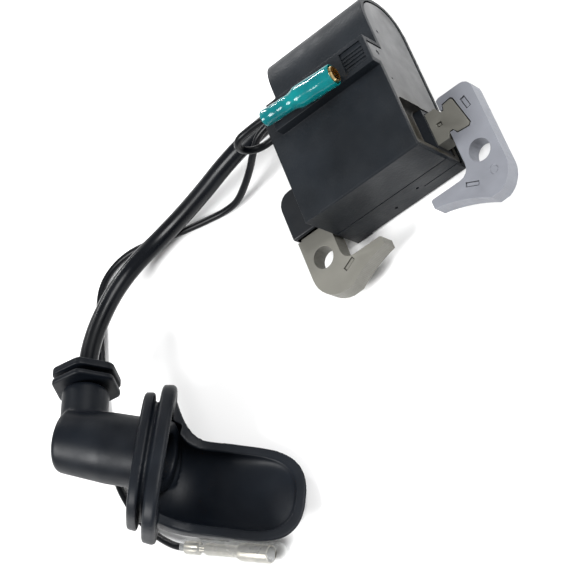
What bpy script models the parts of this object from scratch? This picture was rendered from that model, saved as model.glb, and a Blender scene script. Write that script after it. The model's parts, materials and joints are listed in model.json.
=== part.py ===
"""Flywheel-magneto ignition coil of a small engine, with its plug lead, plug cap, cowl seal and two switch leads.

The coil lies on its back on a table. X runs from the left pole to the right pole, Y points away from the
flywheel, and Z points up. The origin is under the middle of the coil, on the table.
All sizes below are in millimetres and become metres where a mesh is made.
"""

import math

import bmesh
import bpy
from mathutils import Matrix, Vector

MM = 0.001
GAP = 0.3  # clearance between pieces that touch

# Case
CASE_LEFT, CASE_RIGHT = -19.2, 16.3
CASE_BOTTOM, CASE_TOP = -17.6, 33.4
CASE_FRONT = 24.3
LEDGE_LEFT, LEDGE_TOP = -15.3, 13.4
SHELF_BOTTOM, SHELF_TOP, SHELF_FRONT = 7.2, 15.4, 27.6
UPPER_FRONT = 20.5
CROWN_START = 22.0
WALL = 1.2
RESIN_DEPTH = 4.3

# Laminated core
CORE_BACK, CORE_FRONT = 5.1, 10.3
BAR_BOTTOM, BAR_TOP = -13.2, -3.8
LEG_OUTER, LEG_INNER, LEG_TOP = 30.25, 20.05, -2.0
POLE_BOTTOM, POLE_TIP_X, POLE_RADIUS = -33.4, 8.0, 40.0
SHOE_TOP = -24.8
HOLE_X, HOLE_Y, HOLE_RADIUS = 25.0, -20.7, 3.0
COVER_BOTTOM = -12.9

# Bobbin on the core bar
HUB_WALL = 1.0
WINDING_DEPTH = 1.2

# Lead exits on the left end of the case
LEAD_EXIT = Vector((LEDGE_LEFT, 20.4, 13.3))
LEAD_RADIUS = 2.6
WIRE_RADIUS = 1.0
CLEAR_WIRE_EXIT = Vector((LEDGE_LEFT, 16.8, 18.2))
GREEN_WIRE_EXIT = Vector((CASE_LEFT, 10.4, 20.6))
GLAND_RADIUS, GLAND_LENGTH = 4.4, 4.6

# Plug cap: its own axes are A, along the plug, E, towards the elbow, and S, out of the scoop
ELBOW_CENTRE = Vector((-103.2, -34.0, 25.6))
CAP_HEADING, CAP_TILT, CAP_ROLL = math.radians(-35.3), math.radians(20.0), math.radians(24.2)
ELBOW_LEAN = math.radians(15.0)
CAP_BACK, CAP_MOUTH = -5.9, 24.0
CAP_RADIUS, BACK_RADIUS = 9.4, 8.5
ELBOW_RADIUS, ELBOW_REACH = 6.35, 15.7
PLUG_BORE = 6.0
SEAL_OFFSET, SCOOP_OFFSET = -2.2, -6.1
RECESS_TOP = 9.6
SEAL_SWING, SEAL_LEAN = -0.15, 0.25  # how far the seal leans along the cap per millimetre sideways and up
SCOOP_ROOT, NOSE_START, SCOOP_END, SCOOP_HALF_WIDTH = 24.0, 43.0, 62.0, 13.1

# Grommet on the lead, just off the elbow's mouth
GROMMET_START, GROMMET_RADIUS = ELBOW_REACH + 0.5, 9.4

# Connectors
GREEN_START, GREEN_END = Vector((-15.7, 10.4, 30.5)), Vector((6.4, 8.7, 30.5))
CLEAR_START, CLEAR_END = Vector((-98.6, -64.7, 3.2)), Vector((-71.6, -80.8, 3.2))

# Cord routes, from the exit to the far end
LEAD_ROUTE = [
    (-12.0, 20.4, 13.3), (-16.0, 20.4, 13.3), (-20.0, 20.4, 13.3), (-25.2, 20.3, 13.3), (-33.7, 19.5, 12.8),
    (-41.9, 18.7, 11.4), (-50.7, 17.9, 9.1), (-59.2, 17.4, 6.9), (-66.5, 16.9, 5.5), (-73.0, 15.9, 5.2),
    (-79.0, 14.1, 6.2), (-84.2, 11.2, 8.0), (-88.2, 7.6, 10.2), (-91.6, 3.2, 12.6), (-94.6, -1.7, 15.0),
    (-96.8, -6.6, 17.1),
]
CLEAR_ROUTE = [
    (-12.0, 16.8, 18.2), (-15.0, 16.8, 18.2), (-19.0, 16.8, 18.1), (-25.4, 16.4, 16.9), (-30.2, 15.2, 14.0),
    (-35.0, 14.3, 10.0), (-40.8, 13.2, 6.0), (-46.2, 12.7, 3.0), (-51.5, 13.3, 1.6), (-57.4, 14.5, 1.15),
    (-63.1, 15.7, 1.1), (-68.5, 17.0, 1.1), (-75.1, 18.9, 1.1), (-83.0, 20.6, 1.1), (-88.9, 20.6, 1.1),
    (-93.9, 19.2, 1.1), (-97.6, 16.6, 1.1), (-100.2, 12.6, 1.1), (-102.2, 7.5, 1.1), (-104.6, 0.5, 1.1),
    (-107.6, -8.5, 1.1), (-110.6, -18.5, 1.1), (-112.8, -28.5, 1.1), (-113.6, -37.0, 1.1), (-112.9, -43.0, 1.1),
    (-110.9, -49.5, 1.2), (-107.6, -55.6, 1.7), (-103.4, -60.8, 2.6),
]


def axes_matrix(origin, x_axis, y_axis, z_axis):
    """A frame in metres from an origin in millimetres and three unit axes."""
    m = Matrix((x_axis, y_axis, z_axis)).transposed().to_4x4()
    m.translation = Vector(origin) * MM
    return m


def frame_along(origin, direction, up=(0, 0, 1)):
    """A frame whose X axis is the direction."""
    x = Vector(direction).normalized()
    y = Vector(up).cross(x).normalized()
    return axes_matrix(origin, x, y, x.cross(y))


def cap_axes():
    """The plug cap's three axes: heading, then nose down, then rolled towards the lead."""
    flat = Vector((math.cos(CAP_HEADING), math.sin(CAP_HEADING), 0))
    side = Vector((-flat.y, flat.x, 0))
    along = flat * math.cos(CAP_TILT) - Vector((0, 0, math.sin(CAP_TILT)))
    rise = along.cross(side)
    elbow = side * math.cos(CAP_ROLL) - rise * math.sin(CAP_ROLL)
    return along, elbow, along.cross(elbow)


CAP_A, CAP_E, CAP_S = cap_axes()
CAP_FRAME = axes_matrix(ELBOW_CENTRE, CAP_A, CAP_E, CAP_S)
ELBOW_LOCAL = Vector((-math.sin(ELBOW_LEAN), math.cos(ELBOW_LEAN), 0))
ELBOW_AXIS = CAP_A * ELBOW_LOCAL.x + CAP_E * ELBOW_LOCAL.y
UPRIGHT = Matrix.Identity(4)


# Tools ---------------------------------------------------------------------------------------------------


def clear_scene():
    for item in list(bpy.data.objects):
        bpy.data.objects.remove(item, do_unlink=True)


def material(name, color, roughness, metallic=0.0, alpha=1.0):
    made = bpy.data.materials.new(name)
    made.use_nodes = True
    shader = made.node_tree.nodes["Principled BSDF"]
    shader.inputs["Base Color"].default_value = (*color, 1)
    shader.inputs["Roughness"].default_value = roughness
    shader.inputs["Metallic"].default_value = metallic
    shader.inputs["Alpha"].default_value = alpha
    made.diffuse_color = (*color, alpha)
    return made


def new_object(name, bm, finish=None, frame=UPRIGHT, smooth=True):
    """Turns a bmesh in millimetres into an object in the given frame."""
    bmesh.ops.recalc_face_normals(bm, faces=bm.faces)
    bmesh.ops.scale(bm, vec=(MM, MM, MM), verts=bm.verts)
    mesh = bpy.data.meshes.new(name)
    bm.to_mesh(mesh)
    bm.free()
    made = bpy.data.objects.new(name, mesh)
    bpy.context.collection.objects.link(made)
    made.matrix_world = frame
    if finish:
        mesh.materials.append(finish)
    if smooth:
        mesh.shade_smooth()
        mesh.set_sharp_from_angle(angle=math.radians(35))
    return made


def cutter(name, bm, frame=UPRIGHT):
    made = new_object(name, bm, frame=frame, smooth=False)
    made.hide_render = True
    made.display_type = "WIRE"
    return made


def combine(target, other, operation="DIFFERENCE"):
    """Applies a boolean to the target and removes the other object."""
    step = target.modifiers.new(operation.lower(), "BOOLEAN")
    step.operation = operation
    step.solver = "EXACT"
    step.object = other
    bpy.context.view_layer.update()
    evaluated = target.evaluated_get(bpy.context.evaluated_depsgraph_get())
    mesh = bpy.data.meshes.new_from_object(evaluated)
    target.modifiers.remove(step)
    target.data = mesh
    bpy.data.objects.remove(other, do_unlink=True)


def box_bm(low, high):
    bm = bmesh.new()
    bmesh.ops.create_cube(bm, size=1)
    for v in bm.verts:
        v.co = Vector([low[i] if v.co[i] < 0 else high[i] for i in range(3)])
    return bm


def prism_bm(outline, low, high, axis="Z"):
    """Extrudes a closed outline. For axis X the outline holds (y, z) points, for Z (x, y) points."""
    bm = bmesh.new()

    def at(point, height):
        return (height, point[0], point[1]) if axis == "X" else (point[0], point[1], height)

    lower = [bm.verts.new(at(p, low)) for p in outline]
    upper = [bm.verts.new(at(p, high)) for p in outline]
    bm.faces.new(lower[::-1])
    bm.faces.new(upper)
    for i in range(len(outline)):
        j = (i + 1) % len(outline)
        bm.faces.new((lower[i], lower[j], upper[j], upper[i]))
    return bm


def turned_bm(profile, segments=32, closed=True):
    """Turns (position along X, radius) points about the X axis. A closed profile makes a ring."""
    bm = bmesh.new()
    rings = []
    for along, radius in profile:
        if radius < 1e-6:
            rings.append([bm.verts.new((along, 0, 0))])
            continue
        rings.append([
            bm.verts.new((along, radius * math.cos(a), radius * math.sin(a)))
            for a in (2 * math.pi * k / segments for k in range(segments))
        ])
    pairs = list(zip(rings, rings[1:])) + ([(rings[-1], rings[0])] if closed else [])
    for one, two in pairs:
        for k in range(segments):
            j = (k + 1) % segments
            corners = [one[k % len(one)], one[j % len(one)], two[j % len(two)], two[k % len(two)]]
            corners = list(dict.fromkeys(corners))
            if len(corners) > 2:
                bm.faces.new(corners)
    return bm


def rod_bm(low, high, radius, segments=24, edge=0.0):
    """A solid round rod along X, with its ends chamfered."""
    profile = [(low, 0), (low, radius - edge), (high, radius - edge), (high, 0)]
    if edge:
        profile = [
            (low, 0), (low, radius - edge), (low + edge, radius),
            (high - edge, radius), (high, radius - edge), (high, 0),
        ]
    return turned_bm(profile, segments, closed=False)


def pipe_bm(low, high, outer, inner, segments=24):
    return turned_bm([(low, inner), (low, outer), (high, outer), (high, inner)], segments)


def loft_bm(sections, close_ends=True):
    """Joins closed sections with the same number of points, and caps the two ends."""
    bm = bmesh.new()
    rings = [[bm.verts.new(p) for p in section] for section in sections]
    count = len(rings[0])
    for one, two in zip(rings, rings[1:]):
        for k in range(count):
            j = (k + 1) % count
            bm.faces.new((one[k], one[j], two[j], two[k]))
    if close_ends:
        bm.faces.new(rings[0][::-1])
        bm.faces.new(rings[-1])
    return bm


def arc(centre, radius, start, end, steps):
    """Points on an arc, its angles in degrees."""
    angles = [math.radians(start + (end - start) * k / steps) for k in range(steps + 1)]
    return [(centre[0] + radius * math.cos(a), centre[1] + radius * math.sin(a)) for a in angles]


def oval(half_e, half_s, power, count):
    """A superellipse in the cap's E and S axes."""
    points = []
    for k in range(count):
        a = 2 * math.pi * k / count
        c, s = math.cos(a), math.sin(a)
        points.append((
            half_e * math.copysign(abs(c) ** (2 / power), c),
            half_s * math.copysign(abs(s) ** (2 / power), s),
        ))
    return points


def smooth_path(route, spacing):
    """Points at an even spacing along a smooth curve through the route."""
    points = [Vector(p) for p in route]
    ends = [points[0] * 2 - points[1]] + points + [points[-1] * 2 - points[-2]]
    fine = []
    for p0, p1, p2, p3 in zip(ends, ends[1:], ends[2:], ends[3:]):
        for k in range(16):
            t = k / 16
            fine.append(0.5 * (
                2 * p1 + (p2 - p0) * t + (2 * p0 - 5 * p1 + 4 * p2 - p3) * t * t
                + (3 * p1 - p0 - 3 * p2 + p3) * t ** 3
            ))
    fine.append(points[-1])
    total = sum((b - a).length for a, b in zip(fine, fine[1:]))
    steps = max(2, round(total / spacing))
    made, travelled, k = [fine[0]], 0.0, 1
    for a, b in zip(fine, fine[1:]):
        length = (b - a).length
        while k < steps and travelled + length >= total * k / steps:
            made.append(a.lerp(b, (total * k / steps - travelled) / length))
            k += 1
        travelled += length
    return made + [fine[-1]]


def cord(name, route, radius, finish, spacing, resolution):
    """A round cord with filled ends along a smooth route."""
    curve = bpy.data.curves.new(name, "CURVE")
    curve.dimensions = "3D"
    curve.bevel_depth = radius * MM
    curve.bevel_resolution = resolution
    curve.use_fill_caps = True
    points = smooth_path(route, spacing)
    spline = curve.splines.new("POLY")
    spline.points.add(len(points) - 1)
    for slot, point in zip(spline.points, points):
        slot.co = (*(point * MM), 1)
    curve.materials.append(finish)
    made = bpy.data.objects.new(name, curve)
    bpy.context.collection.objects.link(made)
    return made


# Case and potting ----------------------------------------------------------------------------------------


def end_profile(inset):
    """The case's outline seen from its end, as (y, z) points, moved inwards by the inset."""
    half_depth = UPPER_FRONT / 2
    reach = CASE_TOP - CROWN_START
    crown = []
    for k in range(17):
        a = math.radians(90 - 180 * k / 16)
        c, s = math.cos(a), math.sin(a)
        crown.append((
            CROWN_START + (reach - inset) * abs(c) ** (2 / 2.5),
            half_depth + (half_depth - inset) * math.copysign(abs(s) ** (2 / 2.5), s),
        ))
    low, front = CASE_BOTTOM + inset, CASE_FRONT - inset
    return [
        (low + 0.6, inset), (low, inset + 0.6), (low, front - 0.4), (low + 0.4, front),
        (SHELF_BOTTOM + inset, front), (SHELF_BOTTOM + inset, SHELF_FRONT - inset),
        (SHELF_TOP - inset, SHELF_FRONT - inset), (SHELF_TOP - inset, UPPER_FRONT - inset),
    ] + crown


def case_solid(name, inset, right, finish=None):
    """The case's outer form, or its hollow when inset by the wall."""
    body = new_object(name, prism_bm(end_profile(inset), LEDGE_LEFT + inset, right, "X"), finish)
    ledge = box_bm(
        (CASE_LEFT + inset, CASE_BOTTOM + inset, inset),
        (LEDGE_LEFT + inset + 1.0, LEDGE_TOP - inset, CASE_FRONT - inset),
    )
    combine(body, cutter(name + "_ledge", ledge), "UNION")
    return body


def build_case(finish):
    case = case_solid("coil_case", 0.0, CASE_RIGHT, finish)
    combine(case, case_solid("case_hollow", WALL, CASE_RIGHT + 1.0))
    hub_low, hub_high = hub_section(HUB_WALL + 2 * GAP)
    window = box_bm((CASE_LEFT - 1, *hub_low), (CASE_LEFT + WALL + 1, *hub_high))
    combine(case, cutter("bar_window", window))
    for name, centre, radius in (
        ("lead_hole", LEAD_EXIT, LEAD_RADIUS + 0.35),
        ("clear_wire_hole", CLEAR_WIRE_EXIT, WIRE_RADIUS + 0.35),
        ("green_wire_hole", GREEN_WIRE_EXIT, WIRE_RADIUS + 0.35),
    ):
        combine(case, cutter(name, rod_bm(-1, WALL + 1, radius, 16), frame_along(centre, (1, 0, 0))))
    for height, start in ((10.4, CASE_LEFT - 1), (5.2, 6.0)):
        seam = box_bm((start, CASE_BOTTOM - 1, height - 0.25), (CASE_RIGHT + 1, CASE_BOTTOM + 0.4, height + 0.25))
        combine(case, cutter("seam", seam))
    return case


def build_resin(finish):
    """The potting's end block, with the pocket beside the core bar."""
    back = CASE_RIGHT - RESIN_DEPTH
    resin = new_object("potting_resin", prism_bm(end_profile(WALL + GAP), back, CASE_RIGHT - 0.1, "X"), finish)
    hub_low, hub_high = hub_section(HUB_WALL + 2 * GAP)
    hole = box_bm((back - 1, *hub_low), (CASE_RIGHT + 1, *hub_high))
    combine(resin, cutter("hub_hole", hole))
    pocket = box_bm(
        (CASE_RIGHT - 3.0, hub_low[0] - 0.2, hub_high[1] - 0.5),
        (CASE_RIGHT + 1, hub_high[0] + 0.3, CASE_FRONT - WALL - 0.8),
    )
    combine(resin, cutter("pocket", pocket))


# Core ----------------------------------------------------------------------------------------------------


def pole_outline(side, corner_y, corner_end, shoe_start):
    """The lower half of a leg: outer corner, flywheel arc, shoe tip and inner fillet, for side -1 or 1."""
    centre_y = POLE_BOTTOM - math.sqrt(POLE_RADIUS ** 2 - 22.5 ** 2)
    corner = arc((LEG_OUTER - 7.6, corner_y), 7.6, 0, corner_end, 8)
    start = math.degrees(math.acos(shoe_start / POLE_RADIUS))
    end = math.degrees(math.acos(POLE_TIP_X / POLE_RADIUS))
    shoe = arc((0, centre_y), POLE_RADIUS, start, end, 8)
    fillet = arc((LEG_INNER - 3.0, SHOE_TOP + 3.0), 3.0, -90, 0, 4)
    tip = [(POLE_TIP_X, SHOE_TOP - 0.3), (POLE_TIP_X + 0.6, SHOE_TOP)]
    return [(side * x, y) for x, y in corner + shoe + tip + fillet]


def build_core_left(finish):
    """The left leg and the core bar, one stack of L-shaped laminations ending in a dovetail."""
    narrow = LEG_OUTER - 1.25
    head = [
        (19.2, BAR_BOTTOM), (19.9, -11.7), (21.1, -11.7), (21.9, -13.0), (25.2, -13.3), (25.8, -12.7),
        (24.2, -4.6), (23.7, -4.1), (21.3, -4.4), (20.9, -5.8), (20.1, -5.8), (18.9, BAR_TOP),
    ]
    outline = [(-narrow, LEG_TOP - 0.2), (-narrow, COVER_BOTTOM - 0.3), (-LEG_OUTER, COVER_BOTTOM - 0.3)]
    outline += pole_outline(-1, -24.6, -84, 20.4) + [(-LEG_INNER, BAR_BOTTOM)] + head
    outline += [(-19.5, BAR_TOP), (-19.5, LEG_TOP - 0.2)]
    core = new_object("core_bar_and_left_leg", prism_bm(outline, CORE_BACK, CORE_FRONT), finish)
    combine(core, hole_cutter(-HOLE_X))
    dimple(core, (-19.1, -26.4), 3.8, 25)
    dimple(core, (18.4, -8.4), 1.5, 0)


def build_core_right(finish):
    """The right leg, a separate stack with the dovetail socket."""
    socket = [
        (LEG_INNER, -12.0), (21.2, -12.0), (21.75, -13.3), (25.35, -13.65), (26.15, -12.8),
        (24.5, -4.35), (23.95, -3.8), (21.05, -4.05), (20.65, -5.5), (LEG_INNER, -5.5),
    ]
    top = arc((LEG_OUTER - 2.6, LEG_TOP - 2.6), 2.6, 90, 0, 4)
    outline = top + pole_outline(1, -26.2, -70, 22.5) + socket + [(LEG_INNER, LEG_TOP - 0.4), (LEG_INNER + 1, LEG_TOP)]
    leg = new_object("right_leg", prism_bm(outline, CORE_BACK, CORE_FRONT), finish)
    combine(leg, hole_cutter(HOLE_X))
    dimple(leg, (19.6, -27.4), 3.8, -25)
    dimple(leg, (27.0, -7.4), 3.4, -80)
    ring = pipe_bm(CORE_FRONT - 0.2, CORE_FRONT + 1, 1.25, 0.95, 20)
    combine(leg, cutter("stamped_ring", ring, frame_along((26.2, -27.4, 0), (0, 0, 1), (1, 0, 0))))


def hole_cutter(x):
    rod = rod_bm(CORE_BACK - 1, CORE_FRONT + 1, HOLE_RADIUS, 32)
    return cutter("mounting_hole", rod, frame_along((x, HOLE_Y, 0), (0, 0, 1), (1, 0, 0)))


def dimple(piece, centre, length, angle):
    """A shallow interlock mark pressed into the stack's front."""
    turn = Matrix.Rotation(math.radians(angle), 4, "Z")
    turn.translation = Vector((*centre, 0)) * MM
    mark = box_bm((-length / 2, -0.6, CORE_FRONT - 0.3), (length / 2, 0.6, CORE_FRONT + 1))
    combine(piece, cutter("mark", mark, turn))


def build_leg_cover(finish):
    """The moulded cover over the top of the left leg."""
    left, right, top = -LEG_OUTER, CASE_LEFT - GAP, 0.5
    outline = [(right, COVER_BOTTOM), (right, top)] + arc((left + 4, top - 4), 4, 90, 180, 5)
    outline += [(left, COVER_BOTTOM)]
    cover = new_object("left_leg_cover", prism_bm(outline, CORE_BACK - 1.7, CORE_FRONT + 1.9), finish)
    inside = box_bm(
        (-LEG_OUTER + 1.25 - GAP, COVER_BOTTOM - 1, CORE_BACK - GAP),
        (right + 1, LEG_TOP - 0.2 + GAP, CORE_FRONT + GAP),
    )
    combine(cover, cutter("cover_hollow", inside))


# Inside the case -----------------------------------------------------------------------------------------


def hub_section(grow):
    """The bobbin tube's low and high corner in Y and Z, grown from the bar by the given amount."""
    return (BAR_BOTTOM - grow, CORE_BACK - grow), (BAR_TOP + grow, CORE_FRONT + grow)


def sleeve_bm(x_low, x_high, inner, outer):
    """A rectangular tube around the core bar, as a loft that returns through its own bore."""
    (y0, z0), (y1, z1) = hub_section(inner)
    (u0, w0), (u1, w1) = hub_section(outer)
    inside = [(y0, z0), (y1, z0), (y1, z1), (y0, z1)]
    outside = [(u0, w0), (u1, w0), (u1, w1), (u0, w1)]
    order = [(x_low, inside), (x_low, outside), (x_high, outside), (x_high, inside), (x_low, inside)]
    bm = loft_bm([[(x, y, z) for y, z in section] for x, section in order], close_ends=False)
    bmesh.ops.remove_doubles(bm, verts=bm.verts, dist=0.001)
    return bm


def build_charge_coil(bobbin_finish, copper):
    hub_outer = GAP + HUB_WALL
    bobbin = new_object("charge_coil_bobbin", sleeve_bm(CASE_LEFT + 0.2, 16.0, GAP, hub_outer), bobbin_finish)
    for low in (-16.9, 10.4):
        cheek = sleeve_bm(low, low + 1.0, hub_outer - 0.4, hub_outer + WINDING_DEPTH + 0.5)
        combine(bobbin, cutter("cheek", cheek), "UNION")
    winding = sleeve_bm(-15.6, 10.1, hub_outer + GAP, hub_outer + WINDING_DEPTH + GAP)
    new_object("charge_coil_winding", winding, copper)


def build_transformer(bobbin_finish, copper, secondary_finish, ferrite):
    """The high-tension transformer above the bar: rod, primary, bobbin and secondary on one axis."""
    place = frame_along((0, 6.8, 12.0), (1, 0, 0))
    new_object("transformer_core_rod", rod_bm(-12.6, 9.0, 2.0, 16), ferrite, place)
    new_object("transformer_primary_winding", pipe_bm(-11.0, 7.4, 3.2, 2.3, 20), copper, place)
    profile = [
        (-12.4, 3.5), (-12.4, 6.6), (-11.4, 6.6), (-11.4, 4.2), (7.8, 4.2), (7.8, 6.6), (8.8, 6.6), (8.8, 3.5),
    ]
    new_object("transformer_bobbin", turned_bm(profile, 24), bobbin_finish, place)
    new_object("transformer_secondary_winding", pipe_bm(-11.1, 7.5, 6.2, 4.5, 24), secondary_finish, place)


def build_electronics(board_finish, part_finish, film_finish, solder):
    """The ignition module's board and parts, in front of the charge coil."""
    new_object("circuit_board", box_bm((-15.5, -15.8, 14.4), (9.5, -0.6, 15.6)), board_finish, smooth=False)
    new_object("thyristor", box_bm((-14.0, -14.0, 15.9), (-9.2, -9.4, 19.4)), part_finish, smooth=False)
    new_object("discharge_capacitor", box_bm((-6.5, -14.6, 15.9), (8.0, -8.0, 22.4)), film_finish)
    new_object("gate_resistor", rod_bm(-3, 3, 1.1, 12, 0.4), solder, frame_along((-8.0, -4.4, 17.2), (1, 0, 0)))
    for name, x in (("rectifier_diode", -1.6), ("clamp_diode", 4.6)):
        new_object(name, rod_bm(-2.4, 2.4, 1.4, 12, 0.3), part_finish, frame_along((x, -4.4, 17.5), (0, 1, 0)))
    new_object("ground_strip", box_bm((-9.0, -0.5, 6.0), (11.5, -0.1, 13.8)), solder, smooth=False)


def build_lead_exit(rubber, brass):
    gland = turned_bm([
        (0.3, LEAD_RADIUS + GAP), (0.3, GLAND_RADIUS), (1.4, GLAND_RADIUS), (GLAND_LENGTH, GLAND_RADIUS - 1.1),
        (GLAND_LENGTH, LEAD_RADIUS + GAP),
    ], 24)
    new_object("lead_gland", gland, rubber, frame_along(LEAD_EXIT, (-1, 0, 0)))
    spike = turned_bm([(0, 0), (0, 2.2), (1.2, 2.2), (1.2, 0.9), (5.0, 0.9), (6.4, 0)], 16, closed=False)
    new_object("lead_terminal_screw", spike, brass, frame_along((-5.2, 20.4, 13.3), (-1, 0, 0)))


# Plug cap, seal and grommet ------------------------------------------------------------------------------


def build_cap(rubber):
    body = turned_bm([
        (CAP_BACK, 0), (CAP_BACK, BACK_RADIUS - 1.7), (CAP_BACK + 0.4, BACK_RADIUS - 0.7),
        (CAP_BACK + 1.1, BACK_RADIUS - 0.1), (CAP_BACK + 1.8, BACK_RADIUS), (8.0, CAP_RADIUS),
        (CAP_MOUTH - 0.8, CAP_RADIUS), (CAP_MOUTH, CAP_RADIUS - 0.8),
        (CAP_MOUTH, 0),
    ], 36, closed=False)
    cap = new_object("plug_cap", body, rubber, CAP_FRAME)
    elbow_frame = CAP_FRAME @ frame_along((0, 0, 0), ELBOW_LOCAL)
    tube = turned_bm([
        (0, 0), (0, ELBOW_RADIUS), (ELBOW_REACH - 1.4, ELBOW_RADIUS), (ELBOW_REACH - 0.4, ELBOW_RADIUS - 0.5),
        (ELBOW_REACH, ELBOW_RADIUS - 1.5), (ELBOW_REACH, 0),
    ], 28, closed=False)
    combine(cap, cutter("elbow_tube", tube, elbow_frame), "UNION")
    combine(cap, cutter("plug_bore", rod_bm(-2.0, CAP_MOUTH + 1, PLUG_BORE, 24), CAP_FRAME))
    combine(cap, cutter("lead_bore", rod_bm(2.0, ELBOW_REACH + 1, LEAD_RADIUS + GAP, 16), elbow_frame))


def build_plug_terminal(steel, brass):
    """The spring and the cup that snaps on the plug, inside the cap's bore."""
    radius, wire, turns, pitch, steps, sides = 3.2, 0.55, 5, 1.9, 12, 6
    sections = []
    for k in range(turns * steps + 1):
        a = 2 * math.pi * k / steps
        out = Vector((0, math.cos(a), math.sin(a)))
        centre = out * radius + Vector((1.2 + pitch * k / steps, 0, 0))
        sections.append([
            centre + (out * math.cos(b) + Vector((1, 0, 0)) * math.sin(b)) * wire
            for b in (2 * math.pi * j / sides for j in range(sides))
        ])
    new_object("plug_spring", loft_bm(sections), steel, CAP_FRAME)
    cup = [(11.8, 0), (11.8, 4.4), (20.0, 4.4), (20.0, 3.7), (12.6, 3.7), (12.6, 0)]
    new_object("plug_terminal_cup", turned_bm(cup, 20, closed=False), brass, CAP_FRAME)


def scoop_flare(a):
    """How far the scoop's elbow side spreads out where it runs up into the flange."""
    return 9.0 * min(1.0, max(0.0, 1 - (a - SCOOP_ROOT) / 11.0)) ** 2.6


def scoop_half_width(a, inset):
    """Half the scoop's width at a distance along the cap, closing in a round nose."""
    end = SCOOP_END - inset
    share = min(1.0, max(0.0, (a - NOSE_START) / (end - NOSE_START)))
    return max(0.0, (SCOOP_HALF_WIDTH - inset) * (1 - share ** 3.6) ** (1 / 2.5))


def scoop_bm(inset, lift):
    """The scoop as a solid trough, flat on top; the inset one, lifted past the rim, cuts its inside."""
    start = 21.0
    stations = [start + (SCOOP_END - inset - start - 0.05) * (1 - (1 - k / 18) ** 1.6) for k in range(19)]
    sections = []
    for a in stations:
        width = max(0.6, scoop_half_width(a, inset))
        centre = SCOOP_OFFSET + 0.04 * (a - SCOOP_ROOT)
        nose = width / (SCOOP_HALF_WIDTH - inset)
        depth = (12.4 - 0.225 * (a - SCOOP_ROOT) - inset) * (0.35 + 0.65 * nose)
        rim = scoop_rim(a)
        wide = width + scoop_flare(a + 0.8 * inset)
        angles = [math.pi * j / 16 for j in range(17)]
        bowl = [((wide if t < math.pi / 2 else width) * math.cos(t), -depth * abs(math.sin(t)) ** 0.8)
                for t in angles]
        points = [(centre + e, rim + s) for e, s in bowl]
        if lift:
            top = rim + lift if a > SCOOP_ROOT else RECESS_TOP
            points += [(centre - width, top), (centre + wide, top)]
        sections.append([(a, e, s) for e, s in points])
    return loft_bm(sections)


def scoop_rim(a):
    """Height of the scoop's rim, sweeping up where it meets the flange."""
    rise = max(0.0, 1 - (a - 22.0) / 13.0)
    return -2.0 + 6.0 * rise ** 2.2


def leaning(bm):
    """Shears a piece of the seal so that its flange leans towards the scoop."""
    shear = Matrix.Identity(4)
    shear[0][1], shear[0][2] = SEAL_SWING, SEAL_LEAN
    bmesh.ops.transform(bm, matrix=shear, verts=bm.verts)
    return bm


def build_seal(rubber):
    """The cowl seal: small ring, panel groove, flange and open scoop."""
    steps = [
        (15.4, 16.8, 11.8), (15.8, 17.6, 12.3), (18.0, 17.8, 12.5), (18.4, 17.2, 12.1), (18.5, 15.2, 11.5),
        (19.9, 15.2, 11.5), (20.0, 19.8, 12.2), (20.4, 20.5, 12.8), (22.9, 20.8, 13.0), (23.7, 20.4, 12.8),
        (24.0, 19.8, 12.2),
    ]
    sections = [
        [(a, SEAL_OFFSET + e, s) for e, s in oval(half_e, half_s, 3.0, 40)]
        for a, half_e, half_s in steps
    ]
    seal = new_object("cowl_seal", leaning(loft_bm(sections)), rubber, CAP_FRAME)
    combine(seal, cutter("scoop", leaning(scoop_bm(0.0, 0.0)), CAP_FRAME), "UNION")
    inside = cutter("scoop_inside", leaning(scoop_bm(2.6, 12.0)), CAP_FRAME)
    behind = leaning(box_bm((0, -40, -40), (SCOOP_ROOT - 2.4, 40, 40)))
    combine(inside, cutter("behind_flange", behind, CAP_FRAME))
    combine(seal, inside)
    combine(seal, cutter("cap_bore", rod_bm(5, SCOOP_ROOT + 1.2, CAP_RADIUS + GAP, 36), CAP_FRAME))


def build_grommet(rubber):
    """A grommet with two six-sided flanges and a panel groove, loose on the lead."""

    def plate(a, reach):
        return [(a, y, z) for y, z in rounded_hexagon(reach)]

    start = GROMMET_START
    sections = [
        plate(start, GROMMET_RADIUS - 0.4), plate(start + 0.3, GROMMET_RADIUS), plate(start + 1.5, GROMMET_RADIUS),
        plate(start + 1.5, 6.2), plate(start + 2.9, 6.2), plate(start + 2.9, GROMMET_RADIUS),
        plate(start + 4.9, GROMMET_RADIUS), plate(start + 5.2, GROMMET_RADIUS - 0.5),
    ]
    frame = CAP_FRAME @ frame_along((0, 0, 0), ELBOW_LOCAL)
    grommet = new_object("lead_grommet", loft_bm(sections), rubber, frame)
    combine(grommet, cutter("grommet_bore", rod_bm(start - 1, start + 7, LEAD_RADIUS + 0.6, 20), frame))


def rounded_hexagon(reach):
    """Six-sided outline with rounded corners; reach is the distance to a corner's flat start."""
    points = []
    for k in range(6):
        corner = math.radians(60 * k + 30)
        for step in (-9, 0, 9):
            a = corner + math.radians(step)
            r = reach * (1.0 if step == 0 else 0.965)
            points.append((r * math.cos(a), r * math.sin(a)))
    return points


# Leads and connectors ------------------------------------------------------------------------------------


def green_route():
    """Out of the case, back over itself in one turn and into the green sleeve."""
    end = (GREEN_END - GREEN_START).normalized()
    bend = (GREEN_START.z - GREEN_WIRE_EXIT.z) / 2
    middle = Vector((CASE_LEFT - 3.2, GREEN_WIRE_EXIT.y, GREEN_WIRE_EXIT.z + bend))
    turn = []
    for k in range(9):
        a = math.radians(270 - 22.5 * k)
        turn.append(middle + Vector((math.cos(a) * bend, 0, math.sin(a) * bend)))
    start = [GREEN_WIRE_EXIT + Vector((3.5, 0, 0)), GREEN_WIRE_EXIT]
    return start + turn + [GREEN_START - end * 2.0, GREEN_START + end * 2.4]


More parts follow.
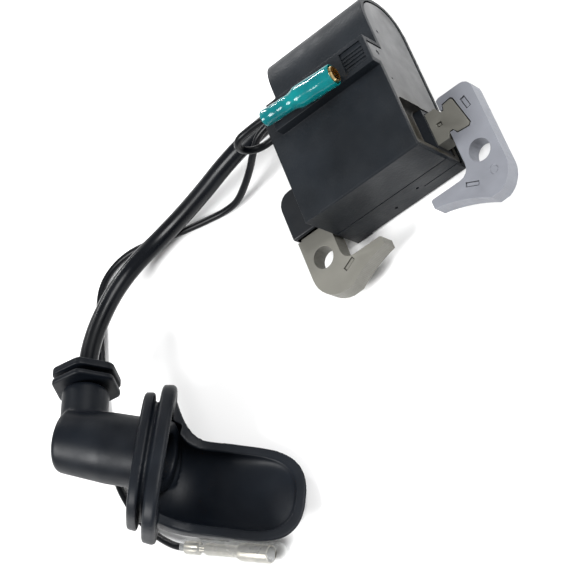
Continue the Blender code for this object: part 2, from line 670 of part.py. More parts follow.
def sleeve_bm_round(length, narrow, wide, wall, split):
    """A soft insulating sleeve: a narrow neck, a shoulder and a wide open end."""
    outer = [(0, narrow - 0.2), (0.4, narrow), (split, narrow), (split + 2.2, wide), (length, wide)]
    inner = [(length, wide - wall), (split + 2.2, wide - wall), (split, narrow - wall), (0, narrow - wall)]
    return turned_bm(outer + inner, 24)


def terminal_bm(crimp, barrel_start, length, crimp_radius, barrel_radius):
    """A bullet receptacle: wire crimp, waist and round barrel with an open mouth."""
    return turned_bm([
        (crimp, WIRE_RADIUS + GAP), (crimp, crimp_radius), (crimp + 4.6, crimp_radius), (crimp + 4.9, 1.0),
        (crimp + 6.4, 1.0), (crimp + 6.8, crimp_radius), (barrel_start - 1.4, crimp_radius),
        (barrel_start, barrel_radius), (length, barrel_radius), (length, barrel_radius - 0.45),
        (barrel_start + 0.6, barrel_radius - 0.45), (barrel_start + 0.6, 0), (crimp + 4.0, 0),
        (crimp + 4.0, WIRE_RADIUS + GAP),
    ], 20, closed=True)


def build_leads(black, green, clear, brass, tin, wire_finish):
    mouth = ELBOW_CENTRE + ELBOW_AXIS * ELBOW_REACH
    into_cap = [mouth + ELBOW_AXIS * reach for reach in (8.2, 4.0, 0.0, -4.0, -8.4)]
    cord("ht_lead", LEAD_ROUTE + into_cap, LEAD_RADIUS, black, 2.0 * LEAD_RADIUS * 2, 4)
    clear_axis = (CLEAR_END - CLEAR_START).normalized()
    clear_end = [CLEAR_START - clear_axis * 1.5, CLEAR_START + clear_axis * 3.4]
    cord("clear_end_lead", CLEAR_ROUTE + clear_end, WIRE_RADIUS, wire_finish, 2.4 * WIRE_RADIUS * 2, 2)
    cord("green_end_lead", green_route(), WIRE_RADIUS, wire_finish, 2.0, 2)
    green_frame = frame_along(GREEN_START, GREEN_END - GREEN_START)
    green_length = (GREEN_END - GREEN_START).length
    new_object("green_sleeve", sleeve_bm_round(green_length, 2.2, 2.9, 0.35, 9.0), green, green_frame)
    new_object("green_terminal", terminal_bm(2.0, 13.0, green_length + 0.6, 1.5, 2.2), brass, green_frame)
    clear_frame = frame_along(CLEAR_START, CLEAR_END - CLEAR_START)
    clear_length = (CLEAR_END - CLEAR_START).length
    new_object("clear_sleeve", sleeve_bm_round(clear_length, 2.4, 3.1, 0.35, 14.0), clear, clear_frame)
    new_object("clear_terminal", terminal_bm(0.8, 19.0, clear_length - 3.2, 1.7, 2.4), tin, clear_frame)


def main():
    clear_scene()
    plastic = material("case_plastic", (0.02, 0.025, 0.03), 0.6)
    resin = material("grey_resin", (0.2, 0.2, 0.21), 0.35)
    steel_left = material("core_steel", (0.42, 0.42, 0.38), 0.45, 0.7)
    steel_right = material("leg_steel", (0.55, 0.58, 0.64), 0.4, 0.7)
    rubber = material("black_rubber", (0.012, 0.013, 0.016), 0.5)
    jacket = material("lead_jacket", (0.008, 0.008, 0.01), 0.25)
    wire = material("wire_jacket", (0.01, 0.01, 0.01), 0.35)
    copper = material("copper_wire", (0.55, 0.22, 0.08), 0.35, 0.9)
    fine_wire = material("fine_copper", (0.42, 0.16, 0.06), 0.4, 0.8)
    bobbin = material("bobbin_plastic", (0.03, 0.03, 0.032), 0.5)
    board = material("board_green", (0.02, 0.12, 0.05), 0.5)
    part = material("part_black", (0.02, 0.02, 0.02), 0.4)
    film = material("capacitor_film", (0.3, 0.07, 0.04), 0.4)
    ferrite = material("ferrite", (0.06, 0.06, 0.06), 0.5)
    brass = material("brass", (0.75, 0.55, 0.25), 0.25, 1.0)
    tin = material("tinned_brass", (0.68, 0.66, 0.6), 0.25, 1.0)
    spring = material("spring_steel", (0.5, 0.5, 0.5), 0.3, 1.0)
    green = material("green_vinyl", (0.0, 0.35, 0.33), 0.2, 0.0, 0.7)
    clear = material("clear_vinyl", (0.85, 0.87, 0.88), 0.15, 0.0, 0.35)

    build_case(plastic)
    build_resin(resin)
    build_core_left(steel_left)
    build_core_right(steel_right)
    build_leg_cover(bobbin)
    build_charge_coil(bobbin, copper)
    build_transformer(bobbin, copper, fine_wire, ferrite)
    build_electronics(board, part, film, tin)
    build_lead_exit(rubber, brass)
    build_cap(rubber)
    build_plug_terminal(spring, brass)
    build_seal(rubber)
    build_grommet(rubber)
    build_leads(jacket, green, clear, brass, tin, wire)


main()
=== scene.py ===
"""Looks for the ignition coil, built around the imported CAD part.

Lengths below are in millimetres. Pieces are modelled in millimetres and turned into metres when they
are placed.
"""

import json
import math

import bmesh
import bpy
from mathutils import Matrix, Quaternion, Vector


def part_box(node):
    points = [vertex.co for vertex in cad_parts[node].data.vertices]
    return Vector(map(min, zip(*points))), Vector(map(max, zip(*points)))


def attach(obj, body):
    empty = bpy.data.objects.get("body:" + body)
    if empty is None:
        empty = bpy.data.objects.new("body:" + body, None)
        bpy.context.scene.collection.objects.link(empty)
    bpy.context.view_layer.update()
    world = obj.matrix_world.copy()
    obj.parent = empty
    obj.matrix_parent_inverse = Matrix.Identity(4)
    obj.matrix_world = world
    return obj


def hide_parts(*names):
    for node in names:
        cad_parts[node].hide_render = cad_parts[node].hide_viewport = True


MM = 0.001

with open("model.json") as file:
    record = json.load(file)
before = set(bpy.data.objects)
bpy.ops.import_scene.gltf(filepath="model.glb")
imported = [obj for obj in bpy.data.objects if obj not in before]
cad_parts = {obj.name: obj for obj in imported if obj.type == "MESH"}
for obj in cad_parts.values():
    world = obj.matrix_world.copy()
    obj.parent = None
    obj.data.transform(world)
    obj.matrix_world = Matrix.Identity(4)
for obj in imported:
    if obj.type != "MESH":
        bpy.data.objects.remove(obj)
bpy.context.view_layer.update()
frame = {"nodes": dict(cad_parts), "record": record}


def box_mm(node):
    """A node's lowest and highest corner in millimetres."""
    low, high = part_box(node)
    return Vector(low) / MM, Vector(high) / MM


CASE_LOW, CASE_HIGH = box_mm("coil_case")
RESIN_LOW, RESIN_HIGH = box_mm("potting_resin")
CORE_LOW, CORE_HIGH = box_mm("core_bar_and_left_leg")

# Case, as in the CAD
LEDGE_LEFT, LEDGE_TOP = -15.3, 13.4
CASE_FRONT, UPPER_FRONT = 24.3, 20.5
SHELF_BOTTOM, SHELF_TOP = 7.2, 15.4
CROWN_START = 22.0
WALL, GAP = 1.2, 0.3
BAR_BOTTOM, BAR_TOP = -13.2, -3.8
CORE_BACK, CORE_FRONT = CORE_LOW.z, CORE_HIGH.z
HUB_GROW = 1.6
CROWN_POWER = 2.5
HOLE_SPARE = 0.35
POCKET_DEPTH = 2.9

# Lines and pips moulded into the case's lower face: (height, start in X) and (X, height)
GROOVE_HALF, GROOVE_DEPTH = 0.2, 0.45
GROOVES = ((10.4, CASE_LOW.x - 1), (5.2, 6.0))
PIP_RADIUS, PIP_DEPTH = 0.45, 0.5
PIPS = ((-3.6, 4.2), (4.6, 6.4))

# Small bubbles left in the cast resin: (Y, height, radius)
BUBBLES = ((11.6, 22.4, 0.7), (20.5, 16.5, 0.5), (4.0, 20.6, 0.4))

# Interlock marks punched into the legs: X, Y, length, width, turn in degrees
LEFT_MARKS = ((-19.1, -26.4, 3.8, 1.2, 25), (18.4, -8.4, 1.5, 1.1, 0))
RIGHT_MARKS = ((19.6, -27.4, 3.8, 1.3, -25), (27.0, -7.4, 3.4, 1.5, -80))
MARK_DEPTH, MARK_STEP_DEPTH = 0.9, 0.12

# Leads and connectors, as in the CAD
LEAD_EXIT = Vector((LEDGE_LEFT, 20.4, 13.3))
CLEAR_WIRE_EXIT = Vector((LEDGE_LEFT, 16.8, 18.2))
GREEN_WIRE_EXIT = Vector((CASE_LOW.x, 10.4, 20.6))
LEAD_RADIUS, WIRE_RADIUS = 2.6, 1.0
GLAND_RADIUS, GLAND_LENGTH = 4.4, 4.6
GREEN_START, GREEN_END = Vector((-15.7, 10.4, 30.5)), Vector((6.4, 8.7, 30.5))
CLEAR_START, CLEAR_END = Vector((-98.6, -64.7, 3.2)), Vector((-71.6, -80.8, 3.2))
SLEEVE_WALL = 0.35
LEAD_ROUTE = [
    (-12.0, 20.4, 13.3), (-16.0, 20.4, 13.3), (-20.0, 20.4, 13.3), (-25.2, 20.3, 13.3),
    (-33.7, 19.5, 12.8), (-41.9, 18.7, 11.4), (-50.7, 17.9, 9.1), (-59.2, 17.4, 6.9),
    (-66.5, 16.9, 5.5), (-73.0, 15.9, 5.2), (-79.0, 14.1, 6.2), (-84.2, 11.2, 8.0),
    (-88.2, 7.6, 10.2), (-91.6, 3.2, 12.6), (-94.6, -1.7, 15.0), (-96.8, -6.6, 17.1),
]
CLEAR_ROUTE = [
    (-12.0, 16.8, 18.2), (-15.0, 16.8, 18.2), (-19.0, 16.8, 18.1), (-25.4, 16.4, 16.9),
    (-30.2, 15.2, 14.0), (-35.0, 14.3, 10.0), (-40.8, 13.2, 6.0), (-46.2, 12.7, 3.0),
    (-51.5, 13.3, 1.6), (-57.4, 14.5, 1.15), (-63.1, 15.7, 1.1), (-68.5, 17.0, 1.1),
    (-75.1, 18.9, 1.1), (-83.0, 20.6, 1.1), (-88.9, 20.6, 1.1), (-93.9, 19.2, 1.1),
    (-97.6, 16.6, 1.1), (-100.2, 12.6, 1.1), (-102.2, 7.5, 1.1), (-104.6, 0.5, 1.1),
    (-107.6, -8.5, 1.1), (-110.6, -18.5, 1.1), (-112.8, -28.5, 1.1), (-113.6, -37.0, 1.1),
    (-112.9, -43.0, 1.1), (-110.9, -49.5, 1.2), (-107.6, -55.6, 1.7), (-103.4, -60.8, 2.6),
]

# Plug cap, as in the CAD
ELBOW_CENTRE = Vector((-103.2, -34.0, 25.6))
CAP_HEADING, CAP_TILT, CAP_ROLL = math.radians(-35.3), math.radians(20.0), math.radians(24.2)
ELBOW_LEAN = math.radians(15.0)
CAP_BACK, CAP_MOUTH, CAP_RADIUS, BACK_RADIUS = -5.9, 24.0, 9.4, 8.5
TAPER_END = 8.0
ELBOW_RADIUS, ELBOW_REACH = 6.35, 15.7
PLUG_BORE = 6.0
SEAL_OFFSET, SCOOP_OFFSET = -2.2, -6.1
RECESS_TOP, SEAL_SWING, SEAL_LEAN = 9.6, -0.15, 0.25
SCOOP_ROOT, NOSE_START, SCOOP_END, SCOOP_HALF_WIDTH = 24.0, 43.0, 62.0, 13.1
RIM_WIDTH = 2.7
FLANGE_RECESS = 2.4
SEAL_BORE_START, SEAL_BORE_END = 5.0, SCOOP_ROOT + 1.2
RUBBER_VOXEL = 0.36
GROMMET_START, GROMMET_RADIUS = ELBOW_REACH + 0.5, 9.4

# Camera, aimed at the middle of the object
CAMERA_TARGET = Vector((-37.3, -21.9, 12.0))
CAMERA_DISTANCE = 465.1
CAMERA_AZIMUTH = math.radians(-46.9)
CAMERA_ELEVATION = math.radians(53.04)
CAMERA_ROLL = math.radians(-71.45)
CAMERA_LENS = 114.6


# Frames --------------------------------------------------------------------------------------------------


def axes_matrix(origin, x_axis, y_axis, z_axis):
    m = Matrix((x_axis, y_axis, z_axis)).transposed().to_4x4()
    m.translation = Vector(origin)
    return m


def frame_along(origin, direction):
    """A frame whose X axis is the direction and whose Y axis is level."""
    x = Vector(direction).normalized()
    y = Vector((0, 0, 1)).cross(x).normalized()
    return axes_matrix(origin, x, y, x.cross(y))


def cap_axes():
    flat = Vector((math.cos(CAP_HEADING), math.sin(CAP_HEADING), 0))
    side = Vector((-flat.y, flat.x, 0))
    along = flat * math.cos(CAP_TILT) - Vector((0, 0, math.sin(CAP_TILT)))
    rise = along.cross(side)
    elbow = side * math.cos(CAP_ROLL) - rise * math.sin(CAP_ROLL)
    return along, elbow, along.cross(elbow)


CAP_A, CAP_E, CAP_S = cap_axes()
CAP_FRAME = axes_matrix(ELBOW_CENTRE, CAP_A, CAP_E, CAP_S)
ELBOW_LOCAL = Vector((-math.sin(ELBOW_LEAN), math.cos(ELBOW_LEAN), 0))
ELBOW_AXIS = CAP_A * ELBOW_LOCAL.x + CAP_E * ELBOW_LOCAL.y
UPRIGHT = Matrix.Identity(4)


# Mesh tools ----------------------------------------------------------------------------------------------


def raw(bm, name="work", place=UPRIGHT):
    """A working object in millimetres."""
    bmesh.ops.recalc_face_normals(bm, faces=bm.faces)
    bmesh.ops.transform(bm, matrix=place, verts=bm.verts)
    mesh = bpy.data.meshes.new(name)
    bm.to_mesh(mesh)
    bm.free()
    made = bpy.data.objects.new(name, mesh)
    bpy.context.collection.objects.link(made)
    return made


def settle(work):
    """Turns a working object's modifiers into its mesh."""
    bpy.context.view_layer.update()
    evaluated = work.evaluated_get(bpy.context.evaluated_depsgraph_get())
    mesh = bpy.data.meshes.new_from_object(evaluated)
    work.modifiers.clear()
    work.data = mesh
    return work


def combine(work, other, operation="DIFFERENCE"):
    step = work.modifiers.new(operation.lower(), "BOOLEAN")
    step.operation = operation
    step.solver = "EXACT"
    step.object = other
    settle(work)
    bpy.data.objects.remove(other, do_unlink=True)
    return work


def round_edges(work, width, segments=3, angle=32):
    step = work.modifiers.new("round", "BEVEL")
    step.width = width
    step.segments = segments
    step.limit_method = "ANGLE"
    step.angle_limit = math.radians(angle)
    return settle(work)


def mould(work, voxel, rounds):
    """Blends a rubber piece's parts into one skin with soft edges."""
    step = work.modifiers.new("skin", "REMESH")
    step.mode = "VOXEL"
    step.voxel_size = voxel
    step.use_smooth_shade = True
    ease = work.modifiers.new("ease", "SMOOTH")
    ease.iterations = rounds
    ease.factor = 0.5
    return settle(work)


def place(work, name, finish, body, slot, nodes=(), at=UPRIGHT, sharp=40):
    """Moves a working object to its place in metres, gives it its finish, ties it to its body and hides the
    CAD nodes it stands in for.
    """
    work.name = name
    work.data.name = name
    work.data.transform(Matrix.Scale(MM, 4) @ at)
    work.data.materials.clear()
    work.data.materials.append(finish)
    work.data.shade_smooth()
    if sharp:
        work.data.set_sharp_from_angle(angle=math.radians(sharp))
    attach(work, body)
    if nodes:
        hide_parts(*nodes)
    return work


def copy_of(node):
    """A working copy of a CAD node's mesh in millimetres, its flat faces joined again."""
    mesh = frame["nodes"][node].data.copy()
    mesh.transform(Matrix.Scale(1 / MM, 4))
    bm = bmesh.new()
    bm.from_mesh(mesh)
    bmesh.ops.remove_doubles(bm, verts=bm.verts, dist=0.002)
    bmesh.ops.dissolve_limit(bm, angle_limit=math.radians(1.5), verts=bm.verts, edges=bm.edges)
    return raw(bm)


def box_bm(low, high):
    bm = bmesh.new()
    bmesh.ops.create_cube(bm, size=1)
    for v in bm.verts:
        v.co = Vector([low[i] if v.co[i] < 0 else high[i] for i in range(3)])
    return bm


def prism_bm(outline, low, high):
    """Extrudes a closed (y, z) outline along X."""
    bm = bmesh.new()
    lower = [bm.verts.new((low, y, z)) for y, z in outline]
    upper = [bm.verts.new((high, y, z)) for y, z in outline]
    bm.faces.new(lower[::-1])
    bm.faces.new(upper)
    for i in range(len(outline)):
        j = (i + 1) % len(outline)
        bm.faces.new((lower[i], lower[j], upper[j], upper[i]))
    return bm


def plain(along, angle):
    return 1.0


def turned_bm(profile, segments=64, closed=True, shape=plain):
    """Turns (position along X, radius) points about X; shape scales the radius by place and angle."""
    bm = bmesh.new()
    rings = []
    for along, radius in profile:
        if radius < 1e-6:
            rings.append([bm.verts.new((along, 0, 0))])
            continue
        ring = []
        for k in range(segments):
            a = 2 * math.pi * k / segments
            r = radius * shape(along, a)
            ring.append(bm.verts.new((along, r * math.cos(a), r * math.sin(a))))
        rings.append(ring)
    pairs = list(zip(rings, rings[1:])) + ([(rings[-1], rings[0])] if closed else [])
    for one, two in pairs:
        for k in range(segments):
            j = (k + 1) % segments
            corners = [one[k % len(one)], one[j % len(one)], two[j % len(two)], two[k % len(two)]]
            corners = list(dict.fromkeys(corners))
            if len(corners) > 2:
                bm.faces.new(corners)
    return bm


def rod_bm(low, high, radius, segments=64):
    return turned_bm([(low, 0), (low, radius), (high, radius), (high, 0)], segments, closed=False)


def loft_bm(sections):
    bm = bmesh.new()
    rings = [[bm.verts.new(p) for p in section] for section in sections]
    count = len(rings[0])
    for one, two in zip(rings, rings[1:]):
        for k in range(count):
            j = (k + 1) % count
            bm.faces.new((one[k], one[j], two[j], two[k]))
    bm.faces.new(rings[0][::-1])
    bm.faces.new(rings[-1])
    return bm


def smooth_path(route, spacing):
    """Points at an even spacing along a smooth curve through the route."""
    points = [Vector(p) for p in route]
    ends = [points[0] * 2 - points[1]] + points + [points[-1] * 2 - points[-2]]
    fine = []
    for p0, p1, p2, p3 in zip(ends, ends[1:], ends[2:], ends[3:]):
        for k in range(16):
            t = k / 16
            fine.append(0.5 * (
                2 * p1 + (p2 - p0) * t + (2 * p0 - 5 * p1 + 4 * p2 - p3) * t * t
                + (3 * p1 - p0 - 3 * p2 + p3) * t ** 3
            ))
    fine.append(points[-1])
    total = sum((b - a).length for a, b in zip(fine, fine[1:]))
    steps = max(2, round(total / spacing))
    made, travelled, k = [fine[0]], 0.0, 1
    for a, b in zip(fine, fine[1:]):
        length = (b - a).length
        while k < steps and travelled + length >= total * k / steps:
            made.append(a.lerp(b, (total * k / steps - travelled) / length))
            k += 1
        travelled += length
    return made + [fine[-1]]


# Materials -----------------------------------------------------------------------------------------------

WAVES_PER_UNIT = math.pi / 10  # the wave texture's scale that gives one band a unit


class Finish:
    """A Principled material whose colour, roughness and bump come from procedural nodes."""

    def __init__(self, name, roughness, metallic=0.0, **inputs):
        self.material = bpy.data.materials.new(name)
        self.material.use_nodes = True
        self.nodes = self.material.node_tree.nodes
        self.links = self.material.node_tree.links
        self.shader = self.nodes["Principled BSDF"]
        self.shader.inputs["Roughness"].default_value = roughness
        self.shader.inputs["Metallic"].default_value = metallic
        for key, value in inputs.items():
            self.shader.inputs[key.replace("_", " ")].default_value = value
        self.where = self.nodes.new("ShaderNodeTexCoord").outputs["Object"]
        self.normal = None

    def noise(self, scale, detail=4.0, stretch=(1, 1, 1), distortion=0.0):
        source = self.where
        if stretch != (1, 1, 1):
            mapping = self.nodes.new("ShaderNodeMapping")
            mapping.inputs["Scale"].default_value = stretch
            self.links.new(source, mapping.inputs["Vector"])
            source = mapping.outputs["Vector"]
        texture = self.nodes.new("ShaderNodeTexNoise")
        texture.inputs["Scale"].default_value = scale
        texture.inputs["Detail"].default_value = detail
        texture.inputs["Distortion"].default_value = distortion
        self.links.new(source, texture.inputs["Vector"])
        return texture.outputs["Fac"]

    def layers(self, pitch):
        """Bands across Z, for the edges of a lamination stack."""
        texture = self.nodes.new("ShaderNodeTexWave")
        texture.bands_direction = "Z"
        texture.inputs["Scale"].default_value = WAVES_PER_UNIT / (pitch * MM)
        self.links.new(self.where, texture.inputs["Vector"])
        return texture.outputs["Fac"]

    def along(self, axis, low, high, waver):
        """0 to 1 between two places on an axis, with the edge wavering."""
        split = self.nodes.new("ShaderNodeSeparateXYZ")
        self.links.new(self.where, split.inputs["Vector"])
        reach = self.nodes.new("ShaderNodeMapRange")
        reach.inputs["From Min"].default_value = low * MM
        reach.inputs["From Max"].default_value = high * MM
        self.links.new(split.outputs[axis], reach.inputs["Value"])
        blend = self.nodes.new("ShaderNodeMath")
        blend.operation = "MULTIPLY_ADD"
        blend.inputs[1].default_value = waver
        self.links.new(self.noise(90, 5), blend.inputs[0])
        self.links.new(reach.outputs["Result"], blend.inputs[2])
        return blend.outputs["Value"]

    def ramp(self, value, stops):
        made = self.nodes.new("ShaderNodeValToRGB")
        first, last = made.color_ramp.elements
        for element, (at, color) in zip((first, last), (stops[0], stops[-1])):
            element.position = at
            element.color = (*color, 1)
        for at, color in stops[1:-1]:
            made.color_ramp.elements.new(at).color = (*color, 1)
        self.links.new(value, made.inputs["Fac"])
        return made.outputs["Color"]

    def color(self, value, stops):
        self.links.new(self.ramp(value, stops), self.shader.inputs["Base Color"])
        return self

    def rough(self, value, low, high):
        made = self.nodes.new("ShaderNodeMapRange")
        made.inputs["From Min"].default_value = 0.3
        made.inputs["From Max"].default_value = 0.7
        made.inputs["To Min"].default_value = low
        made.inputs["To Max"].default_value = high
        self.links.new(value, made.inputs["Value"])
        self.links.new(made.outputs["Result"], self.shader.inputs["Roughness"])
        return self

    def bump(self, value, height, strength=1.0):
        made = self.nodes.new("ShaderNodeBump")
        made.inputs["Strength"].default_value = strength
        made.inputs["Distance"].default_value = height * MM
        self.links.new(value, made.inputs["Height"])
        if self.normal:
            self.links.new(self.normal, made.inputs["Normal"])
        self.normal = made.outputs["Normal"]
        self.links.new(self.normal, self.shader.inputs["Normal"])
        return self


def grey(value):
    return (value, value, value)


def plastic_finish(name, dark, light, roughness, grain):
    made = Finish(name, roughness, Specular_IOR_Level=0.22)
    made.color(made.noise(60, 6), [(0.35, dark), (0.7, light)])
    made.rough(made.noise(180, 3), roughness - 0.06, roughness + 0.08)
    made.bump(made.noise(1500, 2), grain)
    return made.bump(made.noise(90, 2), grain * 2.0, 0.5).material


def rubber_finish(name, dark, light, roughness, grain):
    made = Finish(name, roughness, Specular_IOR_Level=0.15)
    made.color(made.noise(45, 5, distortion=0.4), [(0.38, dark), (0.72, light)])
    made.rough(made.noise(110, 4), roughness - 0.08, roughness + 0.12)
    made.bump(made.noise(900, 3), grain)
    return made.bump(made.noise(120, 2), grain * 3.0, 0.5).material


def steel_finish(name, low, high, stain, roughness):
    """Punched silicon steel: mottled faces, stacked edges and a little rust."""
    made = Finish(name, roughness, 0.35)
    made.color(made.noise(85, 8), [(0.27, stain), (0.36, low), (0.75, high)])
    made.rough(made.noise(400, 3, (1, 3, 1)), roughness - 0.04, roughness + 0.08)
    made.bump(made.layers(0.52), 0.05)
    return made.bump(made.noise(900, 3), 0.008).material


def metal_finish(name, low, high, roughness):
    made = Finish(name, roughness, 1.0)
    made.color(made.noise(220, 5), [(0.35, low), (0.7, high)])
    made.rough(made.noise(500, 3), roughness - 0.06, roughness + 0.1)
    return made.bump(made.noise(700, 2), 0.01).material


def resin_finish():
    made = Finish("cast_resin", 0.34, Coat_Weight=0.15, Coat_Roughness=0.25)
    # Painted shade along Y: darker and browner towards the core at the bottom, lighter in the middle,
    # darker again at the crown. Part of the brown near the core is the resin's own tone.
    made.color(made.along("Y", -16, 40, 0.3), [
        (0.1, (0.016, 0.014, 0.009)), (0.3, (0.026, 0.023, 0.017)), (0.42, (0.034, 0.035, 0.036)),
        (0.82, (0.055, 0.057, 0.06)), (1.0, (0.022, 0.023, 0.025)),
    ])
    made.rough(made.noise(160, 4), 0.28, 0.46)
    made.bump(made.noise(1100, 3), 0.012)
    return made.bump(made.noise(140, 2), 0.05, 0.5).material


def vinyl_finish(name, low, high, transmission, alpha):
    made = Finish(name, 0.16, IOR=1.42, Transmission_Weight=transmission, Alpha=alpha)
    made.color(made.noise(120, 4), [(0.35, low), (0.7, high)])
    made.rough(made.noise(260, 3), 0.07, 0.13)
    return made.bump(made.noise(160, 2), 0.012, 0.5).material


def wire_finish(name, low, high, pitch):
    """Layers of enamelled wire around a bobbin."""
    made = Finish(name, 0.35, 0.85)
    made.color(made.noise(300, 4, (1, 0.1, 0.1)), [(0.35, low), (0.7, high)])
    made.rough(made.noise(500, 2), 0.28, 0.44)
    texture = made.nodes.new("ShaderNodeTexWave")
    texture.bands_direction = "X"
    texture.inputs["Scale"].default_value = WAVES_PER_UNIT / (pitch * MM)
    made.links.new(made.where, texture.inputs["Vector"])
    return made.bump(texture.outputs["Fac"], pitch * 0.25).material


FINISHES = {
    "case_plastic": plastic_finish(
        "case_plastic_look", (0.004, 0.0055, 0.0075), (0.008, 0.0105, 0.014), 0.46, 0.05),
    "grey_resin": resin_finish(),
    "core_steel": steel_finish(
        "core_steel_look", (0.14, 0.137, 0.12), (0.175, 0.171, 0.15), (0.1, 0.085, 0.065), 0.5),
    "leg_steel": steel_finish(
        "leg_steel_look", (0.175, 0.182, 0.204), (0.215, 0.224, 0.252), (0.18, 0.145, 0.135), 0.46),
    "black_rubber": rubber_finish(
        "black_rubber_look", (0.002, 0.003, 0.005), (0.006, 0.008, 0.0115), 0.42, 0.02),
    "lead_jacket": rubber_finish(
        "lead_jacket_look", (0.0015, 0.002, 0.003), (0.004, 0.005, 0.007), 0.26, 0.008),
    "wire_jacket": rubber_finish(
        "wire_jacket_look", (0.0015, 0.002, 0.003), (0.004, 0.0045, 0.006), 0.3, 0.006),
    "bobbin_plastic": plastic_finish(
        "bobbin_plastic_look", (0.005, 0.0062, 0.008), (0.01, 0.012, 0.015), 0.42, 0.03),
    "copper_wire": wire_finish("copper_wire_look", (0.42, 0.15, 0.05), (0.6, 0.25, 0.1), 0.3),
    "fine_copper": wire_finish("fine_copper_look", (0.3, 0.1, 0.03), (0.46, 0.18, 0.07), 0.15),
    "board_green": plastic_finish("board_green_look", (0.01, 0.09, 0.035), (0.02, 0.14, 0.05), 0.4, 0.02),
    "part_black": plastic_finish("part_black_look", grey(0.012), grey(0.025), 0.4, 0.02),
    "capacitor_film": plastic_finish(
        "capacitor_film_look", (0.22, 0.045, 0.02), (0.34, 0.08, 0.04), 0.3, 0.02),
    "ferrite": plastic_finish("ferrite_look", (0.04, 0.04, 0.042), (0.07, 0.07, 0.072), 0.55, 0.04),
    "brass": metal_finish("brass_look", (0.62, 0.42, 0.17), (0.82, 0.6, 0.28), 0.24),
    "tinned_brass": metal_finish("tinned_brass_look", (0.2, 0.185, 0.145), (0.4, 0.375, 0.31), 0.3),
    "spring_steel": metal_finish("spring_steel_look", grey(0.42), grey(0.6), 0.26),
    "green_vinyl": vinyl_finish("green_vinyl_look", (0.0, 0.08, 0.095), (0.0, 0.19, 0.195), 0.0, 0.84),
    "clear_vinyl": vinyl_finish("clear_vinyl_look", (0.86, 0.88, 0.87), (0.95, 0.96, 0.95), 0.2, 0.15),
}


# Camera, light and floor ---------------------------------------------------------------------------------


def build_camera():
    direction = Vector((
        math.cos(CAMERA_ELEVATION) * math.cos(CAMERA_AZIMUTH),
        math.cos(CAMERA_ELEVATION) * math.sin(CAMERA_AZIMUTH),
        math.sin(CAMERA_ELEVATION),
    ))
    data = bpy.data.cameras.new("camera")
    data.lens = CAMERA_LENS
    data.clip_start = 0.01
    camera = bpy.data.objects.new("camera", data)
    bpy.context.collection.objects.link(camera)
    camera.location = (CAMERA_TARGET + direction * CAMERA_DISTANCE) * MM
    camera.rotation_mode = "QUATERNION"
    camera.rotation_quaternion = direction.to_track_quat("Z", "Y") @ Quaternion((0, 0, 1), CAMERA_ROLL)
    bpy.context.scene.camera = camera


def build_light(name, place_mm, target_mm, size, power):
    data = bpy.data.lights.new(name, "AREA")
    data.shape = "DISK"
    data.size = size
    data.energy = power
    lamp = bpy.data.objects.new(name, data)
    bpy.context.collection.objects.link(lamp)
    lamp.location = Vector(place_mm) * MM
    lamp.rotation_euler = (Vector(place_mm) - Vector(target_mm)).to_track_quat("Z", "Y").to_euler()


def build_stage():
    bm = bmesh.new()
    bmesh.ops.create_grid(bm, x_segments=8, y_segments=8, size=4.0)
    mesh = bpy.data.meshes.new("floor")
    bm.to_mesh(mesh)
    bm.free()
    floor = bpy.data.objects.new("floor", mesh)
    bpy.context.collection.objects.link(floor)
    floor.location.z = -0.0002
    paper = Finish("floor_paper", 0.9)
    paper.color(paper.noise(3, 2), [(0.3, grey(0.86)), (0.7, grey(0.88))])
    mesh.materials.append(paper.material)
    world = bpy.data.worlds.new("studio")
    world.use_nodes = True
    world.node_tree.nodes["Background"].inputs["Color"].default_value = (1, 1, 1, 1)
    world.node_tree.nodes["Background"].inputs["Strength"].default_value = 0.45
    bpy.context.scene.world = world
    bpy.context.scene.view_settings.view_transform = "Standard"
    middle = (-35, -20, 10)
    build_light("key", (-520, -260, 620), middle, 0.4, 9.0)
    build_light("side", (560, 60, 560), middle, 0.4, 8.0)
    build_light("back_strip", (-220, 640, 260), middle, 0.1, 1.6)


# Case and resin ------------------------------------------------------------------------------------------


def end_profile(inset, crown_steps=40):
    """The case's outline seen from its end, as (y, z) points, moved inwards by the inset."""
    half_depth = UPPER_FRONT / 2
    reach = CASE_HIGH.y - CROWN_START
    power = 2 / CROWN_POWER
    crown = []
    for k in range(crown_steps + 1):
        a = math.radians(90 - 180 * k / crown_steps)
        c, s = math.cos(a), math.sin(a)
        crown.append((
            CROWN_START + (reach - inset) * abs(c) ** power,
            half_depth + (half_depth - inset) * math.copysign(abs(s) ** power, s),
        ))
    low, front = CASE_LOW.y + inset, CASE_FRONT - inset
    return [
        (low + 0.6, inset), (low, inset + 0.6), (low, front - 0.4), (low + 0.4, front),
        (SHELF_BOTTOM + inset, front), (SHELF_BOTTOM + inset, CASE_HIGH.z - inset),
        (SHELF_TOP - inset, CASE_HIGH.z - inset), (SHELF_TOP - inset, UPPER_FRONT - inset),
    ] + crown


def case_form(inset, right):
    body = raw(prism_bm(end_profile(inset), LEDGE_LEFT + inset, right))
    ledge = box_bm(
        (CASE_LOW.x + inset, CASE_LOW.y + inset, inset),
        (LEDGE_LEFT + inset + 1.0, LEDGE_TOP - inset, CASE_FRONT - inset),
    )
    return combine(body, raw(ledge), "UNION")


def hub_window(left, right, spare=0.0):
    low = (left, BAR_BOTTOM - HUB_GROW - spare, CORE_BACK - HUB_GROW - spare)
    high = (right, BAR_TOP + HUB_GROW + spare, CORE_FRONT + HUB_GROW + spare)
    return raw(box_bm(low, high))


